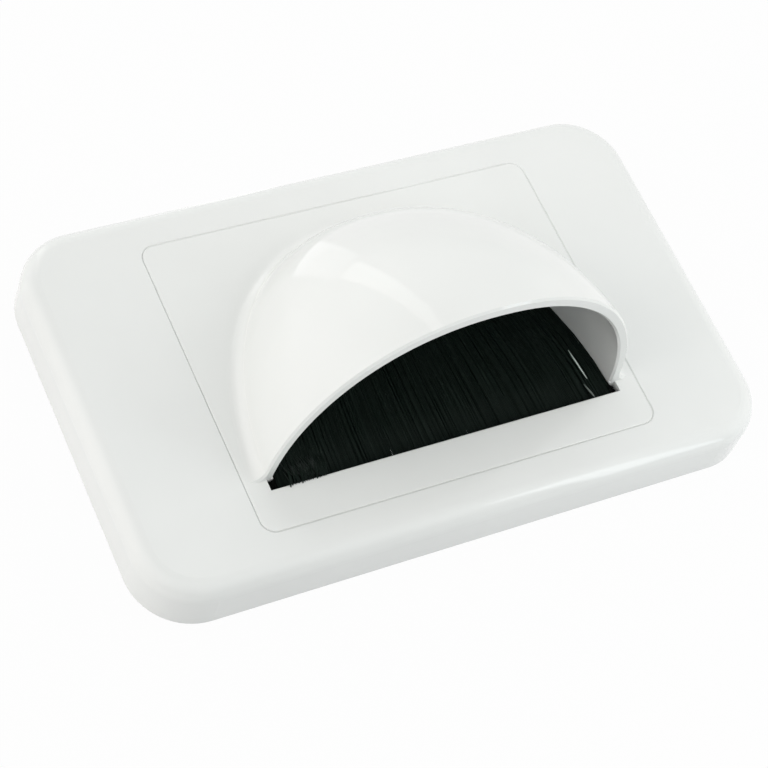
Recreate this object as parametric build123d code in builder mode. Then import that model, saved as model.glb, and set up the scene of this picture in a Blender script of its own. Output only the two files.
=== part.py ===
from build123d import *
import os
from math import atan2, cos, hypot, radians, sin, sqrt, tan

# Bullnose wall plate: a clip-on cover, a base moulding with a half-dome cable hood, and a strip brush
# that closes the opening under the hood. X runs along the plate, the hood's mouth faces -Y, and +Z
# points out of the wall. The origin is the centre of the back face, which lies on the wall at Z = 0.

# Fixing holes: two slots on the standard centres
fixing_centres = 84.0
fixing_slot_length = 8.0
fixing_slot_width = 4.2
fixing_slot_margin = 1.65
fixing_pad_margin = 2.0

# Cover plate, 115 x 70 mm with these borders
plate_depth = 9.35
plate_end_margin = 15.5
plate_border = 7.45
plate_corner = 10.8
plate_edge_round = 3.1
side_draft = 2.0
cover_wall = 2.0
cover_skin = 1.9
cover_inner_round = 1.6
window_rim_wall = 1.2

# Flush panel of the base moulding and the seam around it
panel_corner = 2.4
panel_skin = 1.9
panel_side_margin = 0.55
panel_front_margin = 8.85
panel_rear_margin = 2.65
seam_gap = 0.15
seam_edge_bevel = 0.1
collar_wall = 1.8

# Flange behind the cover, with ribs on its back
flange_lift = 1.6
flange_skin = 2.2
flange_clearance = 0.6
rib_wall = 1.2
rib_pitch = 20.0
rib_count = 4
end_rib_spread = 36.0
rib_setback = 1.6

# Snap hooks of the cover, under the long edges of the flange
hook_width = 8.0
hook_spread = 40.0
hook_reach = 1.3
hook_play = 0.2
hook_land = 0.5

# Hood: a half dome whose mouth leans back
hood_depth = 41.2
hood_height = 34.5
hood_profile_radius = 48.9
hood_fullness = 2.17
hood_wall = 1.75
hood_crown_wall = 2.3
hood_foot_round = 2.4
hood_edge_bevel = 0.35
mouth_lean = 2.3
hood_lead = 4.0
hood_sink = 4.0
hood_root = 1.0
hood_stations = 17
hood_last_station = 89.0

# Cable opening in the panel, under the hood
lip_setback = 1.8
lip_end_margin = 0.9
lip_edge_round = 0.3

# Strip brush behind the panel, whose bristles bulge up into the opening
bristle_thickness = 2.6
bristle_end_gap = 1.2
bristle_side_gap = 1.0
bristle_play = 0.2
bristle_sink = 0.15
bristle_root_gap = 0.3
tuft_count = 56
tuft_gap = 0.22
tuft_raggedness = 0.7
root_band = 2.0
channel_sheet = 0.6
channel_depth = 5.0
channel_play = 0.05
channel_back_gap = 0.25
wire_radius = 0.5

# Retainer of the brush and its two screws
retainer_skin = 1.3
retainer_lip = 0.8
retainer_lip_height = 0.4
retainer_end_gap = 0.35
boss_radius = 2.3
boss_wall_gap = 0.4
boss_gap = 0.3
screw_radius = 1.0
screw_play = 0.08
screw_hole_play = 0.2
screw_grip = 3.2
screw_tip = 0.8
screw_head_radius = 1.95
screw_head_height = 1.3
screw_head_bevel = 0.5
drive_width = 0.55
drive_length = 2.2
drive_depth = 0.7

# Sizes that follow from the ones above
panel_width = fixing_centres - fixing_slot_length - 2 * fixing_slot_margin
panel_height = panel_front_margin + hood_depth + hood_foot_round + panel_rear_margin
panel_back = plate_depth - panel_skin
hood_half_width = panel_width / 2 - panel_side_margin - hood_foot_round
mouth_y = panel_front_margin - panel_height / 2
mouth_slope = tan(radians(mouth_lean))
lip_y = mouth_y - lip_setback
plate_width = fixing_centres + 2 * plate_end_margin
plate_height = panel_height + 2 * plate_border
window_width = panel_width + 2 * seam_gap
window_height = panel_height + 2 * seam_gap
window_corner = panel_corner + seam_gap
cavity_height = plate_depth - cover_skin
flange_top = flange_lift + flange_skin
flange_inset = cover_wall + flange_clearance
flange_width = plate_width - 2 * flange_inset
flange_height = plate_height - 2 * flange_inset
flange_corner = plate_corner - flange_inset
collar_inner_width = panel_width - 2 * collar_wall
collar_inner_height = panel_height - 2 * collar_wall
collar_inner_corner = panel_corner - collar_wall
channel_height = bristle_thickness + 2 * (channel_play + channel_sheet)
brush_z = panel_back - channel_height / 2
bristle_base = brush_z - bristle_thickness / 2
bristle_top = plate_depth - bristle_sink
channel_back_y = collar_inner_height / 2 - channel_back_gap
channel_front_y = channel_back_y - channel_depth
boss_x = collar_inner_width / 2 - boss_wall_gap - boss_radius
boss_y = (channel_back_y + channel_front_y) / 2
channel_length = 2 * (boss_x - boss_radius - boss_gap)
retainer_top = panel_back - channel_height
retainer_back = retainer_top - retainer_skin
fold_y = channel_back_y - channel_height / 2
root_half = channel_length / 2 - bristle_root_gap
root_y = channel_front_y - root_band
bristle_tip_y = bristle_end_gap - collar_inner_height / 2
bristle_tip_half = collar_inner_width / 2 - bristle_side_gap

os.makedirs("parts", exist_ok=True)


def hood_form(half_width, depth, height, profile_radius):
    """Half dome above the panel: its side profile, an arc, shrinks towards a foot on either side."""
    # The arc runs from the top of the mouth to the foot at the back, seen from the side
    top_y = height * mouth_slope
    chord = hypot(depth - top_y, height)
    sag = sqrt(profile_radius**2 - (chord / 2) ** 2)
    centre_y = hood_lead + (depth + top_y) / 2 - sag * height / chord
    centre_z = hood_sink + height / 2 - sag * (depth - top_y) / chord
    reach_up = centre_z + sqrt(profile_radius**2 - centre_y**2)
    reach_back = centre_y + sqrt(profile_radius**2 - centre_z**2)
    start = atan2(-centre_z, reach_back - centre_y)
    end = atan2(reach_up - centre_z, -centre_y)
    middle = (start + end) / 2
    middle_y = centre_y + profile_radius * cos(middle)
    middle_z = centre_z + profile_radius * sin(middle)
    with BuildPart() as form:
        for station in range(hood_stations):
            share = 2 * station / (hood_stations - 1) - 1
            across = sin(radians(hood_last_station * share))
            scale = (1 - abs(across) ** hood_fullness) ** (1 / hood_fullness)
            hinge = (half_width * across, mouth_y - hood_lead, plate_depth - hood_sink)
            with BuildSketch(Plane(origin=hinge, x_dir=(0, 1, 0), z_dir=(1, 0, 0))):
                with BuildLine():
                    Line((0, 0), (reach_back * scale, 0))
                    ThreePointArc(
                        (reach_back * scale, 0),
                        (middle_y * scale, middle_z * scale),
                        (0, reach_up * scale),
                    )
                    Line((0, reach_up * scale), (0, 0))
                make_face()
        loft()
    return form.part


def hood_on_block(width, height, corner, top, form, front):
    """A block as high as the panel or the hollow behind it, with the hood's form standing on it."""
    with BuildPart() as trimmed:
        add(form)
        with Locations((0, front, top - hood_root)):
            Box(
                width,
                2 * height,
                2 * height,
                align=(Align.CENTER, Align.MIN, Align.MIN),
                mode=Mode.INTERSECT,
            )
    with BuildPart() as block:
        with BuildSketch():
            RectangleRounded(width, height, corner)
        extrude(amount=top)
        add(trimmed.part)
    return block.part


# Cover plate: rounded outside, hollow behind, with a rim around its window
with BuildPart() as cover_plate:
    with BuildSketch():
        RectangleRounded(plate_width, plate_height, plate_corner)
    extrude(amount=plate_depth, taper=side_draft)
    fillet(cover_plate.faces().sort_by(Axis.Z)[-1].edges(), plate_edge_round)
    with BuildSketch():
        RectangleRounded(
            plate_width - 2 * cover_wall, plate_height - 2 * cover_wall, plate_corner - cover_wall
        )
    extrude(amount=cavity_height, taper=side_draft, mode=Mode.SUBTRACT)
    ceiling = cover_plate.faces().filter_by(Plane.XY).group_by(Axis.Z)[-2]
    fillet(ceiling.edges(), cover_inner_round)
    with BuildSketch(Plane.XY.offset(flange_top + hook_play)):
        RectangleRounded(
            window_width + 2 * window_rim_wall,
            window_height + 2 * window_rim_wall,
            window_corner + window_rim_wall,
        )
    extrude(amount=cavity_height - flange_top - hook_play)
    with BuildSketch():
        RectangleRounded(window_width, window_height, window_corner)
    extrude(amount=plate_depth, mode=Mode.SUBTRACT)
    chamfer(cover_plate.faces().sort_by(Axis.Z)[-1].inner_wires()[0].edges(), seam_edge_bevel)
    # Hooks on the two long walls
    hook_top = flange_lift - hook_play
    hook_root = plate_height / 2 - cover_wall / 2
    hook_face = plate_height / 2 - cover_wall
    for side in (-1, 1):
        for place in (-hook_spread / 2, hook_spread / 2):
            with BuildSketch(Plane.YZ.offset(place - hook_width / 2)):
                with BuildLine():
                    Polyline(
                        (side * hook_root, 0),
                        (side * hook_face, 0),
                        (side * (hook_face - hook_reach), hook_top - hook_land),
                        (side * (hook_face - hook_reach), hook_top),
                        (side * hook_root, hook_top),
                        close=True,
                    )
                make_face()
            extrude(amount=hook_width)
cover_plate.part.label = "cover_plate"
export_step(cover_plate.part, "parts/cover_plate.step")

# Base moulding: the panel with its collar and hood is an outside form less a core
core = hood_on_block(
    collar_inner_width,
    collar_inner_height,
    collar_inner_corner,
    panel_back,
    hood_form(
        hood_half_width - hood_wall,
        hood_depth - hood_wall,
        hood_height - hood_crown_wall,
        hood_profile_radius - hood_wall,
    ),
    lip_y,
)
outside = hood_on_block(
    panel_width,
    panel_height,
    panel_corner,
    plate_depth,
    hood_form(hood_half_width, hood_depth, hood_height, hood_profile_radius),
    mouth_y - lip_setback / 2,
)
with BuildPart() as hood_plate:
    add(outside)
    foot = hood_plate.edges().filter_by(GeomType.BSPLINE).group_by(Axis.Z)[0]
    fillet(foot, hood_foot_round)
    # The leaning face of the mouth
    with BuildSketch(Plane.YZ.offset(-panel_width / 2)):
        with BuildLine():
            Polyline(
                (mouth_y, plate_depth),
                (mouth_y + panel_height * mouth_slope, plate_depth + panel_height),
                (-panel_height, plate_depth + panel_height),
                (-panel_height, plate_depth),
                close=True,
            )
        make_face()
    extrude(amount=panel_width, mode=Mode.SUBTRACT)
    add(core, mode=Mode.SUBTRACT)
    mouth = hood_plate.faces().filter_by(GeomType.PLANE).sort_by(Axis.Z)[-1]
    chamfer(mouth.edges().sort_by(SortBy.LENGTH)[-2:], hood_edge_bevel)
    # In front of the mouth the opening is a little wider
    with Locations((0, lip_y, panel_back)):
        Box(
            2 * (hood_half_width - hood_wall + lip_end_margin),
            lip_setback,
            2 * panel_skin,
            align=(Align.CENTER, Align.MIN, Align.MIN),
            mode=Mode.SUBTRACT,
        )
    # Soft edges on the panel and the lip
    top_face = hood_plate.faces().filter_by(Plane.XY).group_by(Axis.Z)[-1].sort_by(SortBy.AREA)[-1]
    chamfer(top_face.outer_wire().edges(), seam_edge_bevel)
    lip = hood_plate.edges().filter_by(Axis.X).sort_by_distance((0, lip_y, plate_depth))[0]
    fillet(lip, lip_edge_round)
    # Flange outside the collar, with a pad behind each fixing slot and ribs between them
    with BuildSketch(Plane.XY.offset(flange_lift)):
        RectangleRounded(flange_width, flange_height, flange_corner)
        Rectangle(panel_width - collar_wall, panel_height - collar_wall, mode=Mode.SUBTRACT)
    extrude(amount=flange_skin)
    with BuildSketch():
        with GridLocations(fixing_centres, 0, 2, 1):
            SlotOverall(
                fixing_slot_length + 2 * fixing_pad_margin, fixing_slot_width + 2 * fixing_pad_margin
            )
        with GridLocations(rib_pitch, 0, rib_count, 1):
            Rectangle(rib_wall, flange_height - 2 * rib_setback)
        with GridLocations(0, end_rib_spread, 1, 2):
            Rectangle(flange_width - 2 * rib_setback, rib_wall)
        Rectangle(panel_width - collar_wall, panel_height - collar_wall, mode=Mode.SUBTRACT)
    extrude(amount=flange_lift)
    with BuildSketch():
        with GridLocations(fixing_centres, 0, 2, 1):
            SlotOverall(fixing_slot_length, fixing_slot_width)
    extrude(amount=flange_top, mode=Mode.SUBTRACT)
    # Bosses for the screws of the brush retainer
    with BuildSketch(Plane.XY.offset(retainer_top)):
        with GridLocations(2 * boss_x, 0, 2, 1):
            with Locations((0, boss_y)):
                Circle(boss_radius)
        with Locations((0, boss_y)):
            Rectangle(collar_inner_width + collar_wall, rib_wall)
            Rectangle(2 * boss_x, rib_wall, mode=Mode.SUBTRACT)
    extrude(amount=channel_height + panel_skin / 2)
    with BuildSketch(Plane.XY.offset(retainer_top)):
        with GridLocations(2 * boss_x, 0, 2, 1):
            with Locations((0, boss_y)):
                Circle(screw_radius + screw_play)
    extrude(amount=screw_grip + screw_tip / 2, mode=Mode.SUBTRACT)
hood_plate.part.label = "hood_plate"
export_step(hood_plate.part, "parts/hood_plate.step")

# Strip brush: the bristles are folded over a wire and gripped by a bent strip, and their tufts fan out
brush_space = hood_on_block(
    collar_inner_width - 2 * bristle_play,
    collar_inner_height - 2 * bristle_play,
    collar_inner_corner,
    panel_back - bristle_play,
    hood_form(
        hood_half_width - hood_wall - bristle_play,
        hood_depth - hood_wall - bristle_play,
        hood_height - hood_crown_wall,
        hood_profile_radius - hood_wall,
    ),
    lip_y + bristle_play,
)
with BuildPart() as brush_bristles:
    with BuildSketch(Plane.XY.offset(bristle_base)):
        for tuft in range(tuft_count):
            place = (2 * tuft + 1) / tuft_count - 1
            root_x = root_half * place
            tip_x = bristle_tip_half * place
            root_w = root_half / tuft_count - tuft_gap / 2
            tip_w = bristle_tip_half / tuft_count - tuft_gap / 2
            tip_y = bristle_tip_y + tuft_raggedness * sin(tuft**2) ** 2
            with BuildLine():
                Polyline(
                    (root_x - root_w, root_y),
                    (root_x + root_w, root_y),
                    (tip_x + tip_w, tip_y),
                    (tip_x - tip_w, tip_y),
                    close=True,
                )
            make_face()
    extrude(amount=bristle_top - bristle_base)
    add(brush_space, mode=Mode.INTERSECT)
    with BuildSketch(Plane.YZ.offset(-root_half)):
        with Locations(((root_y + fold_y) / 2, brush_z)):
            Rectangle(fold_y - root_y, bristle_thickness)
        with Locations((fold_y, brush_z)):
            Circle(bristle_thickness / 2)
            Circle(wire_radius + channel_play, mode=Mode.SUBTRACT)
    extrude(amount=2 * root_half)
brush_bristles.part.label = "brush_bristles"
export_step(brush_bristles.part, "parts/brush_bristles.step")

with BuildPart() as brush_channel:
    with BuildSketch(Plane.YZ.offset(-channel_length / 2)):
        with Locations(((channel_front_y + fold_y) / 2, brush_z)):
            Rectangle(fold_y - channel_front_y, channel_height)
        with Locations((fold_y, brush_z)):
            Circle(channel_height / 2)
        with Locations(((channel_front_y + fold_y) / 2, brush_z)):
            Rectangle(fold_y - channel_front_y, channel_height - 2 * channel_sheet, mode=Mode.SUBTRACT)
        with Locations((fold_y, brush_z)):
            Circle(channel_height / 2 - channel_sheet, mode=Mode.SUBTRACT)
    extrude(amount=channel_length)
brush_channel.part.label = "brush_channel"
export_step(brush_channel.part, "parts/brush_channel.step")

with BuildPart() as brush_core_wire:
    with BuildSketch(Plane.YZ.offset(-channel_length / 2)):
        with Locations((fold_y, brush_z)):
            Circle(wire_radius)
    extrude(amount=channel_length)
brush_core_wire.part.label = "brush_core_wire"
export_step(brush_core_wire.part, "parts/brush_core_wire.step")

# Retainer: a bar across the collar, with a lip in front of the strip
retainer_front_y = channel_front_y - channel_play - retainer_lip
with BuildPart() as brush_retainer:
    with BuildSketch(Plane.XY.offset(retainer_back)):
        with Locations((0, (channel_back_y + retainer_front_y) / 2)):
            Rectangle(collar_inner_width - 2 * retainer_end_gap, channel_back_y - retainer_front_y)
    extrude(amount=retainer_skin)
    with BuildSketch(Plane.XY.offset(retainer_top)):
        with Locations((0, retainer_front_y + retainer_lip / 2)):
            Rectangle(channel_length, retainer_lip)
    extrude(amount=retainer_lip_height)
    with BuildSketch(Plane.XY.offset(retainer_back)):
        with GridLocations(2 * boss_x, 0, 2, 1):
            with Locations((0, boss_y)):
                Circle(screw_radius + screw_hole_play)
    extrude(amount=retainer_skin, mode=Mode.SUBTRACT)
brush_retainer.part.label = "brush_retainer"
export_step(brush_retainer.part, "parts/brush_retainer.step")

# Two pan-head screws that hold the retainer to the bosses
with BuildPart() as screw:
    with BuildSketch(Plane.XZ):
        with BuildLine():
            Polyline(
                (0, -screw_head_height),
                (screw_head_radius, -screw_head_height),
                (screw_head_radius, 0),
                (screw_radius, 0),
                (screw_radius, retainer_skin + screw_grip - screw_tip),
                (0, retainer_skin + screw_grip),
                close=True,
            )
        make_face()
    revolve(axis=Axis.Z)
    chamfer(screw.edges().group_by(Axis.Z)[0], screw_head_bevel)
    with BuildSketch(Plane.XY.offset(-screw_head_height)):
        Rectangle(drive_length, drive_width)
        Rectangle(drive_width, drive_length)
    extrude(amount=drive_depth, mode=Mode.SUBTRACT)

with BuildPart() as retainer_screws:
    with Locations((-boss_x, boss_y, retainer_back), (boss_x, boss_y, retainer_back)):
        add(screw.part)
retainer_screws.part.label = "retainer_screws"
export_step(retainer_screws.part, "parts/retainer_screws.step")
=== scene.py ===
import math
import random

import bpy
from mathutils import Matrix, Vector
from mathutils.bvhtree import BVHTree


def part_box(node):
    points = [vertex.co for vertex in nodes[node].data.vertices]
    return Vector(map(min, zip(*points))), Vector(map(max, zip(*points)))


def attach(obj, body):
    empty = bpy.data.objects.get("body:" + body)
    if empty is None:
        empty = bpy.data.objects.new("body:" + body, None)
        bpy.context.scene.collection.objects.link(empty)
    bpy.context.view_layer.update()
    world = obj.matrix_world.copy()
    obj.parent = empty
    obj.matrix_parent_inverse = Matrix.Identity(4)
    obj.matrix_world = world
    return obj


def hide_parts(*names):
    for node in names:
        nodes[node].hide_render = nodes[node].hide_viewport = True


# Bullnose wall plate: white mouldings from the CAD frame, with a brush of single nylon filaments.
# Lengths are in metres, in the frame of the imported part: X along the plate, and the mouth faces -Y.

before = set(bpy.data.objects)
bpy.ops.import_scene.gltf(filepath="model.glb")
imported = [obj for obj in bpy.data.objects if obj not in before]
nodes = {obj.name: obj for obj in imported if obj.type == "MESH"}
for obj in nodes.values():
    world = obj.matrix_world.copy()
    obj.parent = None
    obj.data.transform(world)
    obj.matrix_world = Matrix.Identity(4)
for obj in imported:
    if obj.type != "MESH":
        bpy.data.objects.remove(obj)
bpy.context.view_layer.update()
MM = 0.001

# Camera, measured from the photograph: its angles in degrees and its distance from the part's origin
VIEW_AZIMUTH = -45.431
VIEW_ELEVATION = 55.346
VIEW_ROLL = 24.888
VIEW_DISTANCE = 381.2 * MM
VIEW_NEAREST = 10.0 * MM
VIEW_SHIFT = (-0.00424, -0.02595)
LENS = 105.15
SENSOR = 36.0

# Light: a tent of soft patches, each with the azimuth and elevation of its middle in degrees, its
# sharpness and its level
PATCHES = {
    "left": (-100.0, 10.0, 12.0, 2.25),
    "left_high": (-90.0, 38.0, 12.0, 1.9),
    "back_left": (-118.0, 10.0, 6.0, 1.1),
    "back": (180.0, 10.0, 6.0, 1.2),
    "back_right": (135.0, 10.0, 6.0, 0.55),
    "back_right_high": (135.0, 55.0, 14.0, 0.9),
    "right": (90.0, 10.0, 6.0, 2.45),
    "front_right_high": (45.0, 50.0, 6.0, 1.1),
    "front": (0.0, 10.0, 6.0, 0.32),
    "camera_high": (-45.0, 50.0, 6.0, 0.8),
}
# The tent's dim parts are a little cooler than its bright ones
DIM_TINT = (0.92, 0.98, 1.0)
BRIGHT_TINT = (1.0, 0.97, 0.95)
BRIGHT_LEVEL = 2.2
# Gloss mirrors the tent no brighter than this, so that pale faces seen flat on stay below white
MIRROR_LEVEL = 1.15

# Two upright strip lamps, one behind the plate and a small one close to its front right corner: the
# place of the foot, the width, the height and the power
BACK_STRIP = ((-0.118, 0.993, 0.0), 0.17, 1.3, 0.6)
FRONT_STRIP = ((0.085, -0.12, 0.02), 0.03, 0.12, 0.032)

# Floor, and a glowing strip of it: painted light for the pool that the lamp behind the plate casts there
FLOOR_HALF = 2.0
FLOOR_GREY = 0.66
FLOOR_WHITE = 0.96
FLOOR_STRIP = ((-0.02, 0.04), (-0.004, 0.04), (0.012, 0.6), (-0.142, 0.6))
FLOOR_STRIP_LIFT = 0.2 * MM
FLOOR_STRIP_GLOW = 1.4

# Filaments of the brush: their form, how far they stray, and where their roots lie in the channel
FILAMENT_RADIUS = 0.1 * MM
FILAMENT_SIDES = 4
FILAMENT_WAVE = 0.18 * MM
FILAMENT_WAVE_TURN = 5.0
FILAMENT_DRIFT = 0.006
FILAMENT_LIFT = 0.1 * MM
TIP_RAGGEDNESS = 0.5 * MM
ROOT_INSET = 1.5 * MM
ROOT_END_GAP = 0.4 * MM

# Pad of filaments in the opening, with a span near its left end where it is thin
PAD_PITCH = 0.2 * MM
PAD_LAYERS = 7
PAD_RINGS = 8
PAD_DEPTH = 2.4 * MM
PAD_LIP_GAP = 0.15 * MM
PAD_SIDE_GAP = 0.15 * MM
PAD_JITTER = (0.2, 0.8)
RISE_START = 5.0 * MM
RISE_LENGTH = 5.0 * MM
THIN_SPAN = (-0.93, -0.72)
THIN_LOSS = 1.6 * MM

# Sheet of filaments below the pad
SHEET_LAYERS = 6
SHEET_COLUMNS = 220
SHEET_RINGS = 5

# The opening's wall is measured this far below the panel's face, and no nearer to the lip than this
WALL_DEPTH = 1.0 * MM
MOUTH_SETBACK = 1.9 * MM

# Loose strands, in millimetres along the plate, behind the lip and below the panel's face. A pair is
# a range, and a width is a share of the filament's.
# Strands that fill the two ends of the lip, in nylon darkened as painted shade: each end's side, and the
# range of its tips along the plate
END_SPANS = ((-1, 31.2, 32.45), (1, 30.9, 31.9))
END_COUNT = 110
END_RINGS = 6
END_TIP_BEHIND = (0.0, 1.6)
END_TIP_BELOW = (0.85, 0.25)
END_KNEE_ALONG = 31.1
END_KNEE_BEHIND = 2.2
END_KNEE_SAG = (0.2, 0.0)
END_ROOT_ALONG = 30.4
END_ROOT_BELOW = 0.85
END_LENGTH = (7.0, 10.0)
# Tufts that stand over the lip on the left: the place, the reach and the count of each. The knee and
# the root of a strand lie these steps along and behind its tip, and so far below the face.
TUFTS = ((-29.35, -0.75, 3), (-27.2, -0.6, 2), (-25.4, -0.35, 1), (-24.6, -0.5, 2))
TUFT_RINGS = 8
TUFT_SPREAD = (-0.1, 0.1)
TUFT_RAGGEDNESS = (0.0, 0.2)
TUFT_TIP_BELOW = -0.2
TUFT_KNEE = (0.5, 1.6, -0.1)
TUFT_ROOT = (1.2, 6.0, 0.65)
# Finer fringe between them
FRINGE_SPAN = (-29.0, -22.5)
FRINGE_COUNT = 40
FRINGE_RINGS = 6
FRINGE_WIDTH = 0.8
FRINGE_TIP_BEHIND = (-0.35, 0.0)
FRINGE_TIP_BELOW = (-0.05, -0.2)
FRINGE_KNEE = (0.3, (1.4, 2.4), 0.05)
FRINGE_ROOT = (0.9, (5.0, 8.0), 0.65)
# Strands that slant across the left end, made greyer as painted sheen where light catches the filaments
GREY_SPAN = (-29.5, -22.5)
GREY_COUNT = 60
GREY_RINGS = 5
GREY_WIDTH = 0.6
GREY_TIP_BEHIND = (-0.1, 0.9)
GREY_TIP_BELOW = (0.15, 0.03)
GREY_SLANT = (0.4, 1.2)
GREY_LENGTH = (1.5, 4.0)
GREY_START_BELOW = 0.07
# Two strands on the right, light-coloured as painted glints where light catches them: the width, and
# points along the plate and behind the lip
PAINTED_GLINT_STRAND = (1.5, ((27.3, 9.8), (27.5, 7.9), (27.72, 5.8), (27.95, 3.7)))
DIM_PAINTED_GLINT_STRAND = (1.7, ((26.9, 2.9), (27.15, 1.8), (27.4, 0.9), (27.62, 0.1)))
GLINT_BELOW = 0.09
GLINT_RINGS = 14

# Seam around the panel: half its sides, its corner radius, and its floor, which rises towards the cover.
# The section holds distances out from the panel's edge and down from the seam's depth.
PANEL_HALF = (36.35 * MM, 27.55 * MM)
PANEL_CORNER = 2.4 * MM
SEAM_DEPTH = 0.175 * MM
SEAM_SECTION = ((0.01 * MM, 0.0), (0.14 * MM, -0.1 * MM), (0.14 * MM, 0.1 * MM), (0.01 * MM, 0.1 * MM))
SEAM_STEPS = 12

# Most of a noise lies between these values
NOISE_LOW = 0.3
NOISE_HIGH = 0.7

rng = random.Random(20261126)


# Materials

def new_material(name):
    """A node material, with its tree and its Principled shader."""
    material = bpy.data.materials.new(name)
    material.use_nodes = True
    tree = material.node_tree
    return material, tree, tree.nodes["Principled BSDF"]


def bare_material(name):
    """A node material with an empty tree, and the surface socket of its output."""
    material = bpy.data.materials.new(name)
    material.use_nodes = True
    tree = material.node_tree
    tree.nodes.clear()
    return material, tree, tree.nodes.new("ShaderNodeOutputMaterial").inputs["Surface"]


def object_noise(tree, scale, detail=3.0, stretch=(1.0, 1.0, 1.0)):
    """Noise that stays with the part: it reads the object's own coordinates."""
    place = tree.nodes.new("ShaderNodeTexCoord")
    mapping = tree.nodes.new("ShaderNodeMapping")
    mapping.inputs["Scale"].default_value = stretch
    noise = tree.nodes.new("ShaderNodeTexNoise")
    noise.inputs["Scale"].default_value = scale
    noise.inputs["Detail"].default_value = detail
    tree.links.new(place.outputs["Object"], mapping.inputs["Vector"])
    tree.links.new(mapping.outputs["Vector"], noise.inputs["Vector"])
    return noise.outputs["Fac"]


def ramp(tree, value, low, high, start=0.35, end=0.65):
    """Colours from low to high between two values, which by default are the middle of a noise."""
    node = tree.nodes.new("ShaderNodeValToRGB")
    for element, position, colour in zip(node.color_ramp.elements, (start, end), (low, high)):
        element.position = position
        element.color = (*colour, 1.0)
    tree.links.new(value, node.inputs["Fac"])
    return node.outputs["Color"]


def spread(tree, noise, low, high):
    """A number from low to high that follows a noise."""
    node = tree.nodes.new("ShaderNodeMapRange")
    node.inputs["From Min"].default_value = NOISE_LOW
    node.inputs["From Max"].default_value = NOISE_HIGH
    node.inputs["To Min"].default_value = low
    node.inputs["To Max"].default_value = high
    tree.links.new(noise, node.inputs["Value"])
    return node.outputs["Result"]


def add_bump(tree, shader, height, depth, strength):
    """Fine relief on the shader's surface, which follows a noise."""
    bump = tree.nodes.new("ShaderNodeBump")
    bump.inputs["Distance"].default_value = depth
    bump.inputs["Strength"].default_value = strength
    tree.links.new(height, bump.inputs["Height"])
    tree.links.new(bump.outputs["Normal"], shader.inputs["Normal"])


def math_node(tree, operation, *values):
    """The result of a math node, whose values are numbers or sockets."""
    node = tree.nodes.new("ShaderNodeMath")
    node.operation = operation
    for socket, value in zip(node.inputs, values):
        if isinstance(value, bpy.types.NodeSocket):
            tree.links.new(value, socket)
        else:
            socket.default_value = value
    return node.outputs["Value"]


def moulded_plastic(name, low, high, gloss, peel):
    """Moulded plastic: faint clouds in the colour, uneven gloss and a fine orange peel."""
    material, tree, shader = new_material(name)
    clouds = object_noise(tree, 45.0)
    patches = object_noise(tree, 130.0)
    fine = object_noise(tree, 900.0, detail=2.0)
    tree.links.new(ramp(tree, clouds, low, high), shader.inputs["Base Color"])
    tree.links.new(spread(tree, patches, *gloss), shader.inputs["Roughness"])
    shader.inputs["IOR"].default_value = 1.5
    add_bump(tree, shader, fine, 0.02 * MM, peel)
    return material


def drawn_metal(name, low, high, gloss, stretch):
    """Bare metal with fine drawing lines along one direction."""
    material, tree, shader = new_material(name)
    lines = object_noise(tree, 2500.0, detail=4.0, stretch=stretch)
    shader.inputs["Metallic"].default_value = 1.0
    tree.links.new(ramp(tree, lines, low, high), shader.inputs["Base Color"])
    tree.links.new(spread(tree, lines, *gloss), shader.inputs["Roughness"])
    add_bump(tree, shader, lines, 0.01 * MM, 0.3)
    return material


def nylon(name, low, high, gloss, shine):
    """Filaments: the colour changes from one to the next across the strip."""
    material, tree, shader = new_material(name)
    across = object_noise(tree, 2200.0, detail=1.0, stretch=(1.0, 0.02, 1.0))
    tree.links.new(ramp(tree, across, low, high), shader.inputs["Base Color"])
    tree.links.new(spread(tree, across, *gloss), shader.inputs["Roughness"])
    shader.inputs["Specular IOR Level"].default_value = shine
    return material


cover_white = moulded_plastic(
    "cover_white", (0.768, 0.778, 0.762), (0.785, 0.795, 0.779), gloss=(0.07, 0.12), peel=0.03
)
hood_white = moulded_plastic(
    "hood_white", (0.77, 0.78, 0.762), (0.787, 0.797, 0.779), gloss=(0.015, 0.035), peel=0.015
)
retainer_white = moulded_plastic(
    "retainer_white", (0.77, 0.77, 0.755), (0.8, 0.8, 0.79), gloss=(0.38, 0.5), peel=0.12
)
black_nylon = nylon(
    "black_nylon", (0.007, 0.0135, 0.0102), (0.0105, 0.0175, 0.0138), gloss=(0.5, 0.65), shine=0.12
)
# Painted shade: a darker copy of the black nylon for the strands at the lip's ends, where shade falls
painted_shade_nylon = nylon(
    "painted_shade_nylon", (0.0008, 0.0012, 0.001), (0.0015, 0.002, 0.0018), gloss=(0.6, 0.7), shine=0.05
)
# Painted sheen: lighter nylon for the slanting strands at the left end, where the filaments catch light
painted_sheen_nylon = nylon(
    "painted_sheen_nylon", (0.012, 0.018, 0.015), (0.02, 0.028, 0.024), gloss=(0.4, 0.55), shine=0.3
)
# Painted glints: whitish and greyish nylon for the two strands where light catches the filaments
dim_painted_glint_nylon = nylon("dim_painted_glint_nylon", (0.12, 0.14, 0.13), (0.2, 0.23, 0.21), gloss=(0.3, 0.4), shine=0.4)
painted_glint_nylon = nylon("painted_glint_nylon", (0.6, 0.7, 0.65), (0.75, 0.82, 0.78), gloss=(0.2, 0.3), shine=0.5)
along_x = (0.02, 1.0, 1.0)
along_z = (1.0, 1.0, 0.1)
strip_metal = drawn_metal("strip_metal", (0.66, 0.67, 0.68), (0.76, 0.77, 0.78), (0.26, 0.4), along_x)
wire_metal = drawn_metal("wire_metal", (0.5, 0.5, 0.51), (0.6, 0.6, 0.61), (0.25, 0.38), along_x)
screw_metal = drawn_metal("screw_metal", (0.58, 0.58, 0.58), (0.68, 0.68, 0.67), (0.22, 0.35), along_z)

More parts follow.
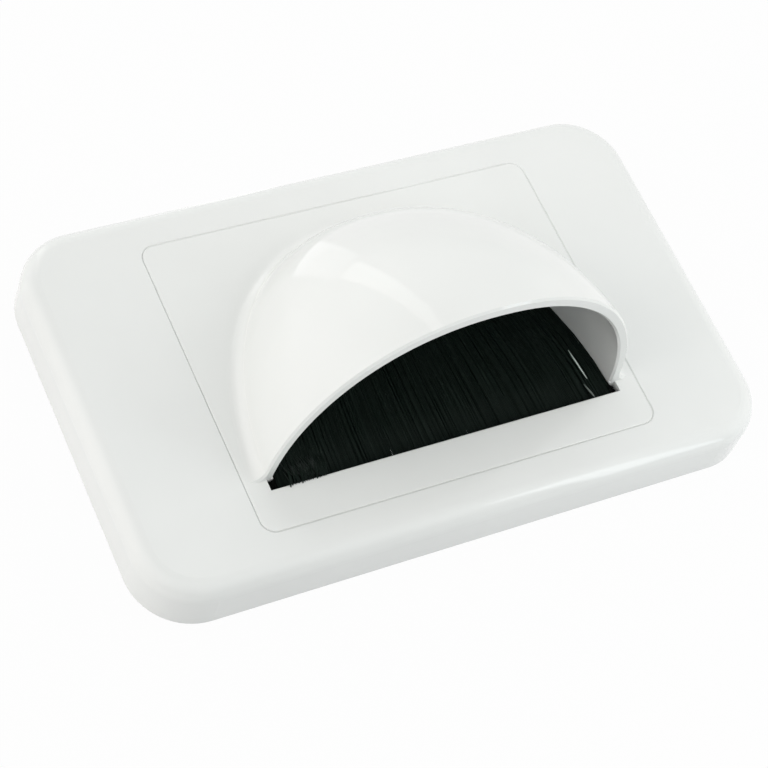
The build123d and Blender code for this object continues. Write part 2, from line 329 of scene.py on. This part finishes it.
for node_name, finish in (
    ("cover_plate", cover_white),
    ("hood_plate", hood_white),
    ("brush_channel", strip_metal),
    ("brush_core_wire", wire_metal),
    ("brush_retainer", retainer_white),
    ("retainer_screws", screw_metal),
):
    nodes[node_name].data.materials.clear()
    nodes[node_name].data.materials.append(finish)


# Strands: thin tubes along a path

def new_object(name, points, faces, material):
    """A mesh object of these points and faces, in the scene."""
    mesh = bpy.data.meshes.new(name)
    mesh.from_pydata([tuple(point) for point in points], [], faces)
    mesh.update()
    mesh.materials.append(material)
    made = bpy.data.objects.new(name, mesh)
    bpy.context.scene.collection.objects.link(made)
    return made


def tip_taper(share):
    """Full width, then a narrower end."""
    return 1.0 if share < 0.99 else 0.55


def spindle(share):
    """Widest in the middle and fine at both ends."""
    return math.sin(math.pi * (0.04 + 0.92 * share)) ** 0.7


class Strands:
    """Collects thin tubes into the points and faces of one mesh."""

    def __init__(self):
        self.points = []
        self.faces = []

    def add(self, path, width=1.0, taper=tip_taper):
        """One filament along the path: a closed tube whose width follows the taper."""
        start = len(self.points)
        last = len(path) - 1
        for i, point in enumerate(path):
            ahead = (path[min(i + 1, last)] - path[max(i - 1, 0)]).normalized()
            side = ahead.cross(Vector((0, 0, 1))).normalized()
            over = side.cross(ahead)
            radius = FILAMENT_RADIUS * width * taper(i / last)
            for k in range(FILAMENT_SIDES):
                turn = 2 * math.pi * (k + 0.5) / FILAMENT_SIDES
                self.points.append(point + (side * math.cos(turn) + over * math.sin(turn)) * radius)
        for i in range(last):
            for k in range(FILAMENT_SIDES):
                a = start + i * FILAMENT_SIDES + k
                b = start + i * FILAMENT_SIDES + (k + 1) % FILAMENT_SIDES
                self.faces.append((a, b, b + FILAMENT_SIDES, a + FILAMENT_SIDES))
        self.faces.append(tuple(start + k for k in reversed(range(FILAMENT_SIDES))))
        self.faces.append(tuple(start + last * FILAMENT_SIDES + k for k in range(FILAMENT_SIDES)))

    def piece(self, name, material):
        """The strands as one smooth piece of the brush."""
        made = new_object(name, self.points, self.faces, material)
        made.data.polygons.foreach_set("use_smooth", [True] * len(made.data.polygons))
        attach(made, "root")
        return made


def smooth_path(corners, count):
    """A soft line through a few corner points (Catmull-Rom), with count points."""
    points = [2 * corners[0] - corners[1], *corners, 2 * corners[-1] - corners[-2]]
    spans = len(points) - 3
    path = []
    for i in range(count):
        at = spans * i / (count - 1)
        k = min(int(at), spans - 1)
        t = at - k
        a, b, c, d = points[k:k + 4]
        bend = (2 * a - 5 * b + 4 * c - d) * t**2 + (3 * b - a - 3 * c + d) * t**3
        path.append(0.5 * (2 * b + (c - a) * t + bend))
    return path


def ease(share):
    """0 to 1 with a soft start and end."""
    share = max(0.0, min(1.0, share))
    return share * share * (3 - 2 * share)


# Places in the frame: the panel's face, the roots in the channel and the opening's wall

bristle_low, bristle_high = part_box("brush_bristles")
channel_low, channel_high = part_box("brush_channel")
panel_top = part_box("cover_plate")[1].z
root_y = channel_low.y + ROOT_INSET
root_half = channel_high.x - ROOT_END_GAP
root_low = bristle_low.z + FILAMENT_RADIUS
root_high = channel_low.z + channel_high.z - root_low

hood_mesh = nodes["hood_plate"].data
hood_wall = BVHTree.FromPolygons(
    [vertex.co for vertex in hood_mesh.vertices], [face.vertices for face in hood_mesh.polygons]
)
wall_z = panel_top - WALL_DEPTH
lip_y = -hood_wall.ray_cast(Vector((0, 0, wall_z)), Vector((0, -1, 0)))[3]
mouth_y = lip_y + MOUTH_SETBACK


def opening_half(y):
    """Half the opening's width under the hood, at this distance along the brush."""
    return hood_wall.ray_cast(Vector((0, max(y, mouth_y), wall_z)), Vector((1, 0, 0)))[3]


def at_lip(x, behind, below):
    """A point given in millimetres along the plate, behind the lip and below the panel's face."""
    return Vector((x * MM, lip_y + behind * MM, panel_top - below * MM))


# Brush of single filaments, in the space of the CAD bristles

rise_half = opening_half(RISE_START)


def pad_half(y):
    """Half the pad's width: it widens from the roots in the channel and follows the opening's wall."""
    if y > RISE_START:
        half = rise_half + (root_half - rise_half) * (y - RISE_START) / (root_y - RISE_START)
    else:
        half = opening_half(y)
    return half - PAD_SIDE_GAP


def add_pad(strands):
    """The filaments that rise into the opening and end at the lip."""
    pad_high = bristle_high.z - FILAMENT_RADIUS
    pad_low = panel_top - PAD_DEPTH
    columns = int(2 * opening_half(mouth_y) / PAD_PITCH)
    for layer in range(PAD_LAYERS):
        height = (layer + 0.5) / PAD_LAYERS
        low = root_low + (root_high - root_low) * height
        for column in range(columns):
            place = 2 * (column + rng.uniform(*PAD_JITTER)) / columns - 1
            end_y = lip_y + PAD_LIP_GAP + TIP_RAGGEDNESS * rng.random() ** 2
            if THIN_SPAN[0] < place < THIN_SPAN[1]:
                end_y += THIN_LOSS * rng.random() ** 2
            drift = rng.gauss(0, FILAMENT_DRIFT)
            phase = rng.uniform(0, 2 * math.pi)
            wave = FILAMENT_WAVE * rng.random()
            high = pad_low + (pad_high - pad_low) * height + rng.uniform(-FILAMENT_LIFT, FILAMENT_LIFT)
            path = []
            for ring in range(PAD_RINGS):
                t = ring / (PAD_RINGS - 1)
                y = root_y + (end_y - root_y) * t
                half = pad_half(y)
                x = (place + drift * t) * half + wave * math.sin(phase + FILAMENT_WAVE_TURN * t)
                z = low + (high - low) * ease((RISE_START - y) / RISE_LENGTH)
                path.append(Vector((max(-half, min(half, x)), y, min(z, pad_high))))
            strands.add(path)


def add_sheet(strands):
    """The filaments below the pad, which run on behind the front of the panel."""
    tip_half = bristle_high.x - FILAMENT_RADIUS
    for layer in range(SHEET_LAYERS):
        z = root_low + (root_high - root_low) * layer / (SHEET_LAYERS - 1)
        for column in range(SHEET_COLUMNS):
            place = 2 * (column + (layer + rng.random()) / SHEET_LAYERS) / SHEET_COLUMNS - 1
            end_y = bristle_low.y + TIP_RAGGEDNESS * rng.random() ** 2
            phase = rng.uniform(0, 2 * math.pi)
            wave = FILAMENT_WAVE * rng.random()
            path = []
            for ring in range(SHEET_RINGS):
                t = ring / (SHEET_RINGS - 1)
                half = root_half + (tip_half - root_half) * t
                x = place * half + wave * t * math.sin(phase + FILAMENT_WAVE_TURN * t)
                y = root_y + (end_y - root_y) * t
                path.append(Vector((max(-tip_half, min(tip_half, x)), y, z)))
            strands.add(path)


def add_ends(strands):
    """Short strands that fill both ends of the lip."""
    for side, inner, outer in END_SPANS:
        for _ in range(END_COUNT):
            x = side * rng.uniform(inner, outer)
            behind = rng.uniform(*END_TIP_BEHIND)
            below = rng.uniform(*END_TIP_BELOW)
            knee_below = below + rng.uniform(*END_KNEE_SAG)
            root_behind = behind + rng.uniform(*END_LENGTH)
            root = at_lip(side * END_ROOT_ALONG, root_behind, END_ROOT_BELOW)
            knee = at_lip(side * END_KNEE_ALONG, END_KNEE_BEHIND, knee_below)
            strands.add(smooth_path((root, knee, at_lip(x, behind, below)), END_RINGS))


def add_tufts(strands):
    """Frayed tips that stand over the lip on the left."""
    for place, reach, count in TUFTS:
        for _ in range(count):
            x = place + rng.uniform(*TUFT_SPREAD)
            behind = reach + rng.uniform(*TUFT_RAGGEDNESS)
            root = at_lip(x + TUFT_ROOT[0], behind + TUFT_ROOT[1], TUFT_ROOT[2])
            knee = at_lip(x + TUFT_KNEE[0], behind + TUFT_KNEE[1], TUFT_KNEE[2])
            strands.add(smooth_path((root, knee, at_lip(x, behind, TUFT_TIP_BELOW)), TUFT_RINGS))


def add_fringe(strands):
    """Finer tips along the lip, between the tufts."""
    for _ in range(FRINGE_COUNT):
        x = rng.uniform(*FRINGE_SPAN)
        behind = rng.uniform(*FRINGE_TIP_BEHIND)
        below = rng.uniform(*FRINGE_TIP_BELOW)
        knee = at_lip(x + FRINGE_KNEE[0], behind + rng.uniform(*FRINGE_KNEE[1]), FRINGE_KNEE[2])
        root = at_lip(x + FRINGE_ROOT[0], behind + rng.uniform(*FRINGE_ROOT[1]), FRINGE_ROOT[2])
        strands.add(smooth_path((root, knee, at_lip(x, behind, below)), FRINGE_RINGS), FRINGE_WIDTH)


def add_painted_sheen_strands(strands):
    """Strands that slant across the left end, on top of the pad, greyer as painted sheen."""
    for _ in range(GREY_COUNT):
        x = rng.uniform(*GREY_SPAN)
        behind = rng.uniform(*GREY_TIP_BEHIND)
        tip = at_lip(x, behind, rng.uniform(*GREY_TIP_BELOW))
        start_x = x - rng.uniform(*GREY_SLANT)
        start = at_lip(start_x, behind + rng.uniform(*GREY_LENGTH), GREY_START_BELOW)
        strands.add(smooth_path((start, (start + tip) / 2, tip), GREY_RINGS), GREY_WIDTH, spindle)


def add_glint(strands, width, corners):
    """One thick strand on top of the pad, through points along the plate and behind the lip."""
    path = smooth_path([at_lip(x, behind, GLINT_BELOW) for x, behind in corners], GLINT_RINGS)
    strands.add(path, width, spindle)


brush = Strands()
add_pad(brush)
add_sheet(brush)
brush_piece = brush.piece("brush_filaments", black_nylon)
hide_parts("brush_bristles")

# The end strands carry painted shade in their darker nylon
ends = Strands()
add_ends(ends)
ends.piece("brush_ends", painted_shade_nylon)

strays = Strands()
add_tufts(strays)
add_fringe(strays)
strays.piece("brush_strays", black_nylon)

# The slanting strands carry painted sheen in their lighter nylon
sheen_strands = Strands()
add_painted_sheen_strands(sheen_strands)
sheen_strands.piece("brush_painted_sheen_strands", painted_sheen_nylon)

# The two glint strands carry painted glints in their light-coloured nylon
glint_strands = Strands()
add_glint(glint_strands, *PAINTED_GLINT_STRAND)
glint_strands.piece("brush_painted_glint", painted_glint_nylon)

dim_glint_strands = Strands()
add_glint(dim_glint_strands, *DIM_PAINTED_GLINT_STRAND)
dim_glint_strands.piece("brush_dim_painted_glint", dim_painted_glint_nylon)


# Floor of the seam around the panel

def seam_ring():
    """The points of the seam's section, carried round the panel, and the faces between them."""
    points = []
    for quarter in range(4):
        corner = Vector((
            (PANEL_HALF[0] - PANEL_CORNER) * (1 if quarter in (0, 3) else -1),
            (PANEL_HALF[1] - PANEL_CORNER) * (1 if quarter in (0, 1) else -1),
            panel_top - SEAM_DEPTH,
        ))
        for step in range(SEAM_STEPS + 1):
            turn = math.pi / 2 * (quarter + step / SEAM_STEPS)
            outward = Vector((math.cos(turn), math.sin(turn), 0))
            for offset, drop in SEAM_SECTION:
                points.append(corner + outward * (PANEL_CORNER + offset) - Vector((0, 0, drop)))
    sides = len(SEAM_SECTION)
    faces = []
    for start in range(0, len(points), sides):
        for i in range(sides):
            j = (i + 1) % sides
            ring = (start + i, start + j, start + sides + j, start + sides + i)
            faces.append(tuple(index % len(points) for index in ring))
    return points, faces


seam_floor = new_object("seam_floor", *seam_ring(), cover_white)
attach(seam_floor, "root")


# Stage: a pale floor that stays white in the background and keeps a soft shadow

def seen_rays(tree):
    """1 for rays from the camera and from gloss or glass, 0 for the rays that carry light."""
    rays = tree.nodes.new("ShaderNodeLightPath").outputs
    mirror = math_node(tree, "MAXIMUM", rays["Is Glossy Ray"], rays["Is Transmission Ray"])
    return math_node(tree, "MAXIMUM", rays["Is Camera Ray"], mirror)


def mix_shaders(tree, share, first, second):
    """A share of the second shader, a number or a socket, and the rest of the first."""
    node = tree.nodes.new("ShaderNodeMixShader")
    if isinstance(share, bpy.types.NodeSocket):
        tree.links.new(share, node.inputs[0])
    else:
        node.inputs[0].default_value = share
    tree.links.new(first, node.inputs[1])
    tree.links.new(second, node.inputs[2])
    return node.outputs["Shader"]


def floor_paper():
    """Grey paper for the light that falls on it, and nearly all white to the eye."""
    material, tree, surface = bare_material("floor_paper")
    paper = tree.nodes.new("ShaderNodeBsdfDiffuse")
    paper.inputs["Color"].default_value = (FLOOR_GREY, FLOOR_GREY, FLOOR_GREY, 1.0)
    white = tree.nodes.new("ShaderNodeEmission")
    white.inputs["Strength"].default_value = 1.0
    shown = mix_shaders(tree, FLOOR_WHITE, paper.outputs["BSDF"], white.outputs["Emission"])
    tree.links.new(mix_shaders(tree, seen_rays(tree), paper.outputs["BSDF"], shown), surface)
    return material


def painted_light_pool():
    """A glowing strip of paper: painted light for the lamp's pool of light on it."""
    material, tree, surface = bare_material("painted_light_pool")
    glow = tree.nodes.new("ShaderNodeEmission")
    glow.inputs["Strength"].default_value = FLOOR_STRIP_GLOW
    tree.links.new(glow.outputs["Emission"], surface)
    return material


floor_corners = [
    (-FLOOR_HALF, -FLOOR_HALF, 0),
    (FLOOR_HALF, -FLOOR_HALF, 0),
    (FLOOR_HALF, FLOOR_HALF, 0),
    (-FLOOR_HALF, FLOOR_HALF, 0),
]
floor = new_object("floor", floor_corners, [(0, 1, 2, 3)], floor_paper())

# Only gloss sees the glowing strip of painted light
strip_corners = [(x, y, FLOOR_STRIP_LIFT) for x, y in FLOOR_STRIP]
floor_strip = new_object("floor_strip", strip_corners, [(0, 1, 2, 3)], painted_light_pool())
floor_strip.visible_camera = False
floor_strip.visible_diffuse = False
floor_strip.visible_shadow = False


# Light

def heading(azimuth, elevation=0.0):
    """The direction at this azimuth from -Y towards +X and this elevation, both in degrees."""
    turn, tilt = math.radians(azimuth), math.radians(elevation)
    return Vector((math.sin(turn) * math.cos(tilt), -math.cos(turn) * math.cos(tilt), math.sin(tilt)))


def tent_level(tree):
    """The tent's level in each direction: the sum of its patches."""
    direction = tree.nodes.new("ShaderNodeTexCoord").outputs["Generated"]
    level = 0.0
    for azimuth, elevation, sharpness, strength in PATCHES.values():
        toward = tree.nodes.new("ShaderNodeVectorMath")
        toward.operation = "DOT_PRODUCT"
        toward.inputs[1].default_value = heading(azimuth, elevation)
        tree.links.new(direction, toward.inputs[0])
        near = math_node(tree, "MAXIMUM", toward.outputs["Value"], 0.0)
        patch = math_node(tree, "POWER", near, sharpness)
        level = math_node(tree, "MULTIPLY_ADD", patch, strength, level)
    return level


def add_tent():
    """The world: a tent of light whose mirror image in gloss has a highest level."""
    world = bpy.data.worlds.new("tent")
    world.use_nodes = True
    bpy.context.scene.world = world
    tree = world.node_tree
    sky = tree.nodes["Background"]
    level = tent_level(tree)
    mirrored = math_node(tree, "MINIMUM", level, MIRROR_LEVEL)
    dimming = math_node(tree, "SUBTRACT", mirrored, level)
    gloss = tree.nodes.new("ShaderNodeLightPath").outputs["Is Glossy Ray"]
    tree.links.new(math_node(tree, "MULTIPLY_ADD", gloss, dimming, level), sky.inputs["Strength"])
    share = math_node(tree, "DIVIDE", level, BRIGHT_LEVEL)
    tree.links.new(ramp(tree, share, DIM_TINT, BRIGHT_TINT, 0.0, 1.0), sky.inputs["Color"])


def add_strip_lamp(name, foot, width, height, power, tint):
    """An upright strip lamp that faces the part's axis and isn't seen by the camera."""
    lamp = bpy.data.lights.new(name, "AREA")
    lamp.shape = "RECTANGLE"
    lamp.size = width
    lamp.size_y = height
    lamp.energy = power
    lamp.color = tint
    strip = bpy.data.objects.new(name, lamp)
    bpy.context.scene.collection.objects.link(strip)
    strip.location = Vector(foot) + Vector((0, 0, height / 2))
    strip.rotation_mode = "QUATERNION"
    strip.rotation_quaternion = (-Vector((foot[0], foot[1], 0))).to_track_quat("-Z", "Y")
    strip.visible_camera = False


add_tent()
add_strip_lamp("back_strip", *BACK_STRIP, BRIGHT_TINT)
add_strip_lamp("front_strip", *FRONT_STRIP, DIM_TINT)


# Camera at the photograph's angle

def add_camera():
    roll = math.radians(VIEW_ROLL)
    back = heading(VIEW_AZIMUTH, VIEW_ELEVATION)
    level_right = heading(VIEW_AZIMUTH + 90.0)
    level_up = back.cross(level_right)
    right = level_right * math.cos(roll) + level_up * math.sin(roll)
    up = level_up * math.cos(roll) - level_right * math.sin(roll)
    lens = bpy.data.cameras.new("camera")
    lens.sensor_width = SENSOR
    lens.lens = LENS
    lens.shift_x, lens.shift_y = VIEW_SHIFT
    lens.clip_start = VIEW_NEAREST
    camera = bpy.data.objects.new("camera", lens)
    bpy.context.scene.collection.objects.link(camera)
    turned = Matrix((right, up, back)).transposed().to_4x4()
    camera.matrix_world = Matrix.Translation(back * VIEW_DISTANCE) @ turned
    bpy.context.scene.camera = camera


add_camera()
bpy.context.scene.view_settings.view_transform = "Standard"
